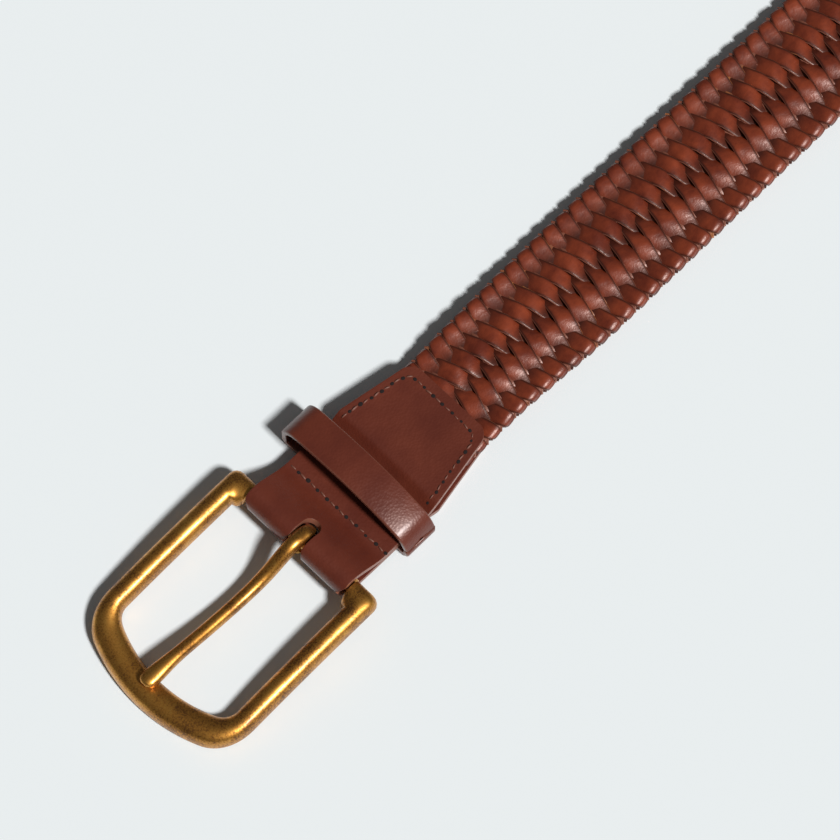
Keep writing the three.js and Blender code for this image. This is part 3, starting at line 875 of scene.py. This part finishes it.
# Thin dark lens, half sunk, of painted shade where a stitch hole is, about its own middle
def holeShadeMesh():
    s = stitchSizes
    rings = []
    for angle in np.linspace(-80, 80, 7):
        a = math.radians(angle)
        angles = np.linspace(0, 2 * math.pi, 13)[:-1]
        radius = s["holeRadius"] * math.cos(a)
        rings.append(np.column_stack([
            radius * 1.2 * np.cos(angles), radius * np.sin(angles),
            np.full(12, 0.05 * math.sin(a))]))
    rings = np.array(rings) + (beltShift, 0, 0)
    obj = skin("hole_shape", rings)
    faceOutwards(obj)
    return obj


keeperSizes = {
    "wall": 1.8,
    "width": 10.0,
    "innerHalf": 20.8,
    "shift": 1.6,
    "top": 13.3,
    "topRadius": 5.0,
    "baseRadius": 2.4,
    "edgeRadius": 0.45,
    "bowLeft": 2.2,
    "bowRight": 4.8,
    "bowFrom": 5.0,
    "bowOver": 5.0,
    "longestStep": 1.5,
}


# Closed leather loop, as a strip swept round its own middle line
def keeperLoop():
    s = keeperSizes
    half = s["innerHalf"] + s["wall"] / 2
    low, high = s["wall"] / 2, s["top"] - s["wall"] / 2
    corners = (
        (half, low, s["baseRadius"], -90), (half, high, s["topRadius"], 0),
        (-half, high, s["topRadius"], 90), (-half, low, s["baseRadius"], 180))
    path = []
    for y, z, radius, start in corners:
        radius -= s["wall"] / 2
        inwards = math.copysign(radius, z - (low + high) / 2)
        centre = np.array([y - math.copysign(radius, y), z - inwards])
        for angle in np.radians(np.linspace(start, start + 90, 14)):
            out = np.array([math.cos(angle), math.sin(angle)])
            path.append(centre + radius * out)
    path = np.array(path)
    # Points along the straight stretches too
    dense = []
    for i in range(len(path)):
        a, b = path[i], path[(i + 1) % len(path)]
        steps = max(1, int(np.hypot(*(b - a)) / s["longestStep"]))
        for t in np.linspace(0, 1, steps + 1)[:-1]:
            dense.append(mix(a, b, t))
    dense = np.array(dense)
    # The empty loop bows: it is highest in the middle
    rise = ease((dense[:, 1] - s["bowFrom"]) / s["bowOver"])
    bow = np.where(dense[:, 0] < 0, s["bowRight"], s["bowLeft"])
    dense[:, 1] -= bow * (dense[:, 0] / half) ** 2 * rise
    along = np.roll(dense, -1, 0) - np.roll(dense, 1, 0)
    lift = np.column_stack([along[:, 1], -along[:, 0]])
    lift /= np.linalg.norm(lift, axis=1)[:, None]
    middle = (belt["keeperStart"] + belt["keeperEnd"]) / 2
    points = np.column_stack([np.full(len(dense), middle), dense + (s["shift"], 0)])
    ups = np.column_stack([np.zeros(len(lift)), lift])
    count = len(points)
    obj = meshObject("loop_of_keeper", points, [(i, (i + 1) % count) for i in range(count)], [],
                     {"up": ups, "girth": np.ones(count)})
    r, w, t = s["edgeRadius"], s["width"] / 2, s["wall"] / 2
    outline, edge = [], []
    for cx, cy, start in ((w, -t, -90), (w, t, 0), (-w, t, 90), (-w, -t, 180)):
        for angle in np.radians(np.linspace(start, start + 90, 4)):
            outline.append((cy - math.copysign(r, cy) + r * math.sin(angle),
                            cx - math.copysign(r, cx) + r * math.cos(angle)))
            edge.append(max(0.0, abs(math.cos(angle)) - 0.2))
    profile = profileObject("keeper_profile", outline, {"edge": edge})
    runTree(obj, sweep, Profile=profile, Finish=leather)
    bpy.data.objects.remove(profile)
    faceOutwards(obj)
    return obj


# Braid

braidSizes = {
    "halfWidth": 16.8,
    "pitch": 4.76,
    "middle": 3.12,
    "faceLift": 1.1,
    "weave": 1.2,
    "crest": 0.8,
    "roll": 17.0,
    "wrap": 0.3,
    "straightening": 0.15,
    "laceWidth": 5.4,
    "laceTop": 0.58,
    "laceBase": 0.5,
    "laceBack": 0.93,
    "domePower": 2.5,
    "domeFullness": 0.8,
    "edgeTop": 0.12,
    "edgeBase": 0.1,
    "flankShadeFrom": 0.62,
    "flankShadeOver": 0.3,
    "squeeze": 0.08,
    "edgeNarrowing": 0.4,
    "edgeWeave": 0.56,
    "squareness": 0.95,
    "faceCurve": 0.25,
    "underShadeFrom": -0.15,
    "underShadeOver": 0.7,
    "stepsPerColumn": 5,
    "thickness": 6.24,
    "pinchThickness": 4.0,
    "pinchWidth": 30.5,
    "swell": 12.0,
    "spread": 48.0,
    "tuck": 4.0,
    "seed": 11,
}

# How far a lace strays from a perfect braid, and over how many of its points
braidStray = {
    "weave": (0.1, 9),
    "lift": (0.06, 6),
    "along": (0.22, 11),
    "roll": (0.12, 10),
    "girth": (0.02, 8),
}


# Tree that settles a straight braid between the tabs: pinched and lifted in each tab, easing out
# to full width, full thickness and the surface it lies on
def settleTree():
    s = braidSizes
    tree = bpy.data.node_groups.new("settle", "GeometryNodeTree")
    giveSockets(tree, "Settled", Braid="Geometry")
    given = addNode(tree, "NodeGroupInput").node.outputs
    place = addNode(tree, "GeometryNodeInputPosition")
    parts = addNode(tree, "ShaderNodeSeparateXYZ", {0: place}).node.outputs
    near = addNode(tree, "ShaderNodeMath", {
        0: parts["X"], 1: (belt["tabEnd"] - beltShift) * millimetre}, operation="SUBTRACT")
    far = addNode(tree, "ShaderNodeMath", {
        0: (belt["tipTabStart"] - beltShift) * millimetre, 1: parts["X"]}, operation="SUBTRACT")
    past = addNode(tree, "ShaderNodeMath", {0: near, 1: far}, operation="MINIMUM")
    wide = addNode(tree, "ShaderNodeMapRange", {
        "Value": past, "From Max": s["spread"] * millimetre,
        "To Min": s["pinchWidth"] / 2 / s["halfWidth"]}, interpolation_type="SMOOTHSTEP")
    thick = addNode(tree, "ShaderNodeMapRange", {
        "Value": past, "From Max": s["swell"] * millimetre,
        "To Min": s["pinchThickness"] / s["thickness"]}, interpolation_type="SMOOTHSTEP")
    lift = addNode(tree, "ShaderNodeMapRange", {
        "Value": past, "From Max": s["spread"] * millimetre,
        "To Min": (belt["leather"] + 0.3) * millimetre, "To Max": 0.0},
        interpolation_type="SMOOTHSTEP")
    y = addNode(tree, "ShaderNodeMath", {0: parts["Y"], 1: wide}, operation="MULTIPLY")
    z = addNode(tree, "ShaderNodeMath", {0: parts["Z"], 1: thick, 2: lift}, operation="MULTIPLY_ADD")
    moved = addNode(tree, "ShaderNodeCombineXYZ", {"X": parts["X"], "Y": y, "Z": z})
    settled = addNode(tree, "GeometryNodeSetPosition", {"Geometry": given["Braid"], "Position": moved})
    settled = addNode(tree, "GeometryNodeRealizeInstances", {"Geometry": settled})
    settled = addNode(tree, "GeometryNodeSetMaterial", {"Geometry": settled, "Material": lace})
    addNode(tree, "NodeGroupOutput", {0: settled})
    return tree


# Slow random wander along a path, of a kind that braidStray names
def wander(random, count, kind):
    reach, span = braidStray[kind]
    knots = random.uniform(-1, 1, count // span + 4)
    return reach * np.interp(np.arange(count) / span, np.arange(len(knots)), knots)


# Lace centre line and the way its grain side looks. A lace goes round the flattened braid, across
# four columns in front and four behind, over one and under one. Column is 0 to 4 in front, from
# the left edge to the right one, and 4 to 8 behind.
def lacePath(number, leftHanded, random):
    s = braidSizes
    start, end = belt["tabEnd"] - belt["tabTaper"] + s["tuck"], belt["tipTabFull"] - s["tuck"]
    lead = s["pitch"] / 2 * (-1 if leftHanded else 1)
    first = s["pitch"] * (number if leftHanded else number - 0.5)
    # x = first + lead * column
    a, b = (start - first) / lead, (end - first) / lead
    count = int(abs(b - a) * s["stepsPerColumn"]) + 1
    column = np.linspace(a, b, count)
    turn = column * math.pi / 4
    # A lace runs squarer to the belt where it wraps an edge than in the middle of a face
    x = first + lead * (column - s["straightening"] * 2 / math.pi * np.sin(math.pi * column / 2))
    keep, soft = s["squareness"], s["faceCurve"]
    sin, cos = np.sin(turn), np.cos(turn)
    reach = s["halfWidth"] - s["weave"] * s["edgeWeave"] - s["laceTop"]
    y = reach * np.arcsin(keep * cos) / math.asin(keep)
    z = s["faceLift"] * sin * np.sqrt((1 + soft ** 2) / (sin ** 2 + soft ** 2))
    points = np.column_stack([x, y, s["middle"] + z])
    alongTurn = np.gradient(points, axis=0)
    out = np.column_stack([np.zeros(count), alongTurn[:, 2], -alongTurn[:, 1]])
    out *= np.sign(lead) * -1
    out *= np.sign(out[:, 2:] * z[:, None] + out[:, 1:2] * y[:, None] + 1e-9)
    out /= np.linalg.norm(out, axis=1)[:, None]
    # The laces on top beside an edge stay on top until they are round it
    bend = np.sin(np.pi * (column - 2) / 4)
    phase = np.pi * (column - s["wrap"] * bend * np.abs(bend) ** 4 - 0.5)
    # Crests are short and hollows long, as taut lace bends over the one that it crosses
    hand = 1 if leftHanded else -1
    over = hand * np.cos(phase + s["crest"] * hand * np.sin(phase))
    height = s["weave"] * over * (1 + wander(random, count, "weave"))
    points += out * (height + wander(random, count, "lift"))[:, None]
    points[:, 0] += wander(random, count, "along")
    along = np.gradient(points, axis=0)
    along /= np.linalg.norm(along, axis=1)[:, None]
    wide = np.cross(along, out)
    wide *= np.sign(wide[:, :1])
    wide /= np.linalg.norm(wide, axis=1)[:, None]
    roll = math.radians(s["roll"]) * np.sin(phase) * (1 + wander(random, count, "roll"))
    roll *= np.abs(sin) ** 0.6
    up = out * np.cos(roll)[:, None] - wide * np.sin(roll)[:, None]
    girth = 1 - s["squeeze"] * np.cos(phase) ** 2 + wander(random, count, "girth")
    # It gathers where it turns round an edge
    girth -= s["edgeNarrowing"] * (1 - np.abs(sin)) ** 4
    # Last, how far the lace lies under the one it crosses, which sets its painted shade and antique dye
    return points, up, girth, ease((s["underShadeFrom"] - over) / s["underShadeOver"])


# Eight laces with a domed grain side, settled between the tabs
def braidLaces():
    s = braidSizes
    half = s["laceWidth"] / 2
    across = np.array([-0.98, -0.88, -0.7, -0.4, 0, 0.4, 0.7, 0.88, 0.98])
    dome = (1 - np.abs(across) ** s["domePower"]) ** s["domeFullness"]
    dome = mix(s["edgeTop"], s["laceTop"], dome)
    outline = [(up, a * half) for up, a in zip(dome, across)]
    base, edgeBase, back = -s["laceBase"], -s["edgeBase"], s["laceBack"] * half
    outline += [(edgeBase, half), (base, back), (base, -back), (edgeBase, -half)]
    edge = [1.0, 0, 0, 0, 0, 0, 0, 0, 1.0, 1.0, 1.0, 1.0, 1.0]
    # Painted shade and antique dye on the dome's lower flanks, beside each edge
    flank = ease((np.abs(across) - s["flankShadeFrom"]) / s["flankShadeOver"])
    flank = np.concatenate([flank, np.ones(4)])
    profile = profileObject("lace_profile", outline, {"edge": edge, "flank": flank})
    settle = settleTree()
    random = np.random.RandomState(s["seed"])
    laces = []
    for leftHanded in (True, False):
        for number in range(4):
            points, up, girth, deep = lacePath(number, leftHanded, random)
            hand = "left" if leftHanded else "right"
            obj = meshObject(f"lace_{hand}_{number + 1}", points,
                             [(i, i + 1) for i in range(len(points) - 1)], [],
                             {"up": up, "girth": girth, "deep": deep})
            runTree(obj, sweep, Profile=profile, Finish=lace)
            runTree(obj, settle)
            faceOutwards(obj)
            laces.append(obj)
    bpy.data.objects.remove(profile)
    return laces


# Put together


# Gives a piece its material if it has none, its body and smooth shading, and hides the CAD nodes that
# it stands for
def finishPiece(obj, body, slot, material, *nodes):
    if not obj.data.materials:
        obj.data.materials.append(material)
    obj.data.shade_smooth()
    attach(obj, body)
    if nodes:
        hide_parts(*nodes)


buckle = buckleFrame()
faceOutwards(buckle)
finishPiece(buckle, "frame", "antique_brass", brass, "buckle_frame")
prong = buckleProng()
faceOutwards(prong)
finishPiece(prong, "prong", "antique_brass", brass, "buckle_prong")
print("stage: buckle")

finishPiece(chapeSheet(), "strap", "smooth_leather", leather, "chape")
stitchWork = stitchTree()
threadShape, holeShadeShape = threadMesh(), holeShadeMesh()
seamX = belt["foldLength"] + stitchSizes["foldSeamPast"]
seamEnd = belt["strapWidth"] / 2 - stitchSizes["foldSeamInset"]
sewn = sewLine("fold_seam", [(seamX, seamEnd), (seamX, -seamEnd)], chapeTop)
tabSeam = tabLine(belt["tabEnd"], belt["keeperEnd"] + stitchSizes["tabSeamPast"], 1)
sewn += sewLine("chape_tab_seam", tabSeam, chapeTop)
tipSeam = tabLine(belt["tipTabStart"], belt["tipTabFull"] + stitchSizes["tipSeamPast"], -1)
sewn += sewLine("tip_tab_seam", tipSeam, tipTop)
for obj in sewn:
    finishPiece(obj, "strap", "smooth_leather", thread)
for obj in (threadShape, holeShadeShape):
    bpy.data.objects.remove(obj)
finishPiece(keeperLoop(), "strap", "smooth_leather", leather, "keeper_loop")
for name, outer, side in (("tip_upper_layer", tipTop, 1), ("tip_lower_layer", tipBase, -1)):
    finishPiece(tipSheet(name, outer, side), "strap", "smooth_leather", leather, "tip_tab")
print("stage: smooth leather")

for obj in braidLaces():
    finishPiece(obj, "strap", "braided_leather", lace, "braided_strap")
print("stage: braid")


# Floor, light and camera

studio = {
    "floor": "#e9eeef",
    "ambient": 0.09,
    "keyStrength": 3.65,
    "keyWidth": 9.0,
    "keyTravel": (-0.04, 0.80, -1.0),
    "groundAngle": 45.3,
    "tilt": 20.0,
    "distance": 1150.0,
    "pixelsPerMillimetre": 3.93,
    "imageSize": 840.0,
    "floorSize": 12.0,
    "floorDrop": 0.05,
    "aimPixel": (291.5, 545.0),
    "aimPlace": (-3.4, 0.55, 8.0),
}


# Pale floor, one broad key light with a little light all round, and the photo's camera
def makeStudio():
    s = studio
    bpy.ops.mesh.primitive_plane_add(size=s["floorSize"])
    floor = bpy.context.active_object
    floor.name = "floor"
    floor.location.z = -s["floorDrop"] * millimetre
    floor.data.materials.append(plainFinish("pale_floor", s["floor"], 0.9))

    world = bpy.data.worlds.new("studio")
    world.use_nodes = True
    background = world.node_tree.nodes["Background"]
    background.inputs["Color"].default_value = linear("#ffffff")
    background.inputs["Strength"].default_value = s["ambient"]
    bpy.context.scene.world = world

    key = bpy.data.objects.new("key", bpy.data.lights.new("key", "SUN"))
    key.data.energy = s["keyStrength"]
    key.data.angle = math.radians(s["keyWidth"])
    key.rotation_euler = Vector(s["keyTravel"]).to_track_quat("-Z", "Y").to_euler()
    bpy.context.scene.collection.objects.link(key)

    # The camera looks along the ground direction, tipped from straight down, and a known place on
    # the fold shows at a known pixel
    ground, tilt = math.radians(s["groundAngle"]), math.radians(s["tilt"])
    right = Vector((math.cos(ground), -math.sin(ground), 0))
    ahead = Vector((math.sin(ground), math.cos(ground), 0))
    up = ahead * math.cos(tilt) + Vector((0, 0, 1)) * math.sin(tilt)
    back = Vector((0, 0, 1)) * math.cos(tilt) - ahead * math.sin(tilt)
    focal = s["pixelsPerMillimetre"] * s["distance"]
    middle = s["imageSize"] / 2
    ray = (right * ((s["aimPixel"][0] - middle) / focal)
           + up * ((middle - s["aimPixel"][1]) / focal) - back)
    place = Vector(s["aimPlace"]) - Vector((beltShift, 0, 0))
    reach = (place.z - s["distance"] * back.z) / ray.z
    spot = (place - ray * reach) * millimetre
    camera = bpy.data.objects.new("camera", bpy.data.cameras.new("camera"))
    camera.data.lens = camera.data.sensor_width * focal / s["imageSize"]
    camera.data.clip_end = 20.0
    turned = Matrix((right, up, back)).transposed().to_4x4()
    turned.translation = spot
    camera.matrix_world = turned
    bpy.context.scene.collection.objects.link(camera)
    bpy.context.scene.camera = camera
    bpy.context.scene.view_settings.view_transform = "Standard"


makeStudio()
print("stage: studio")
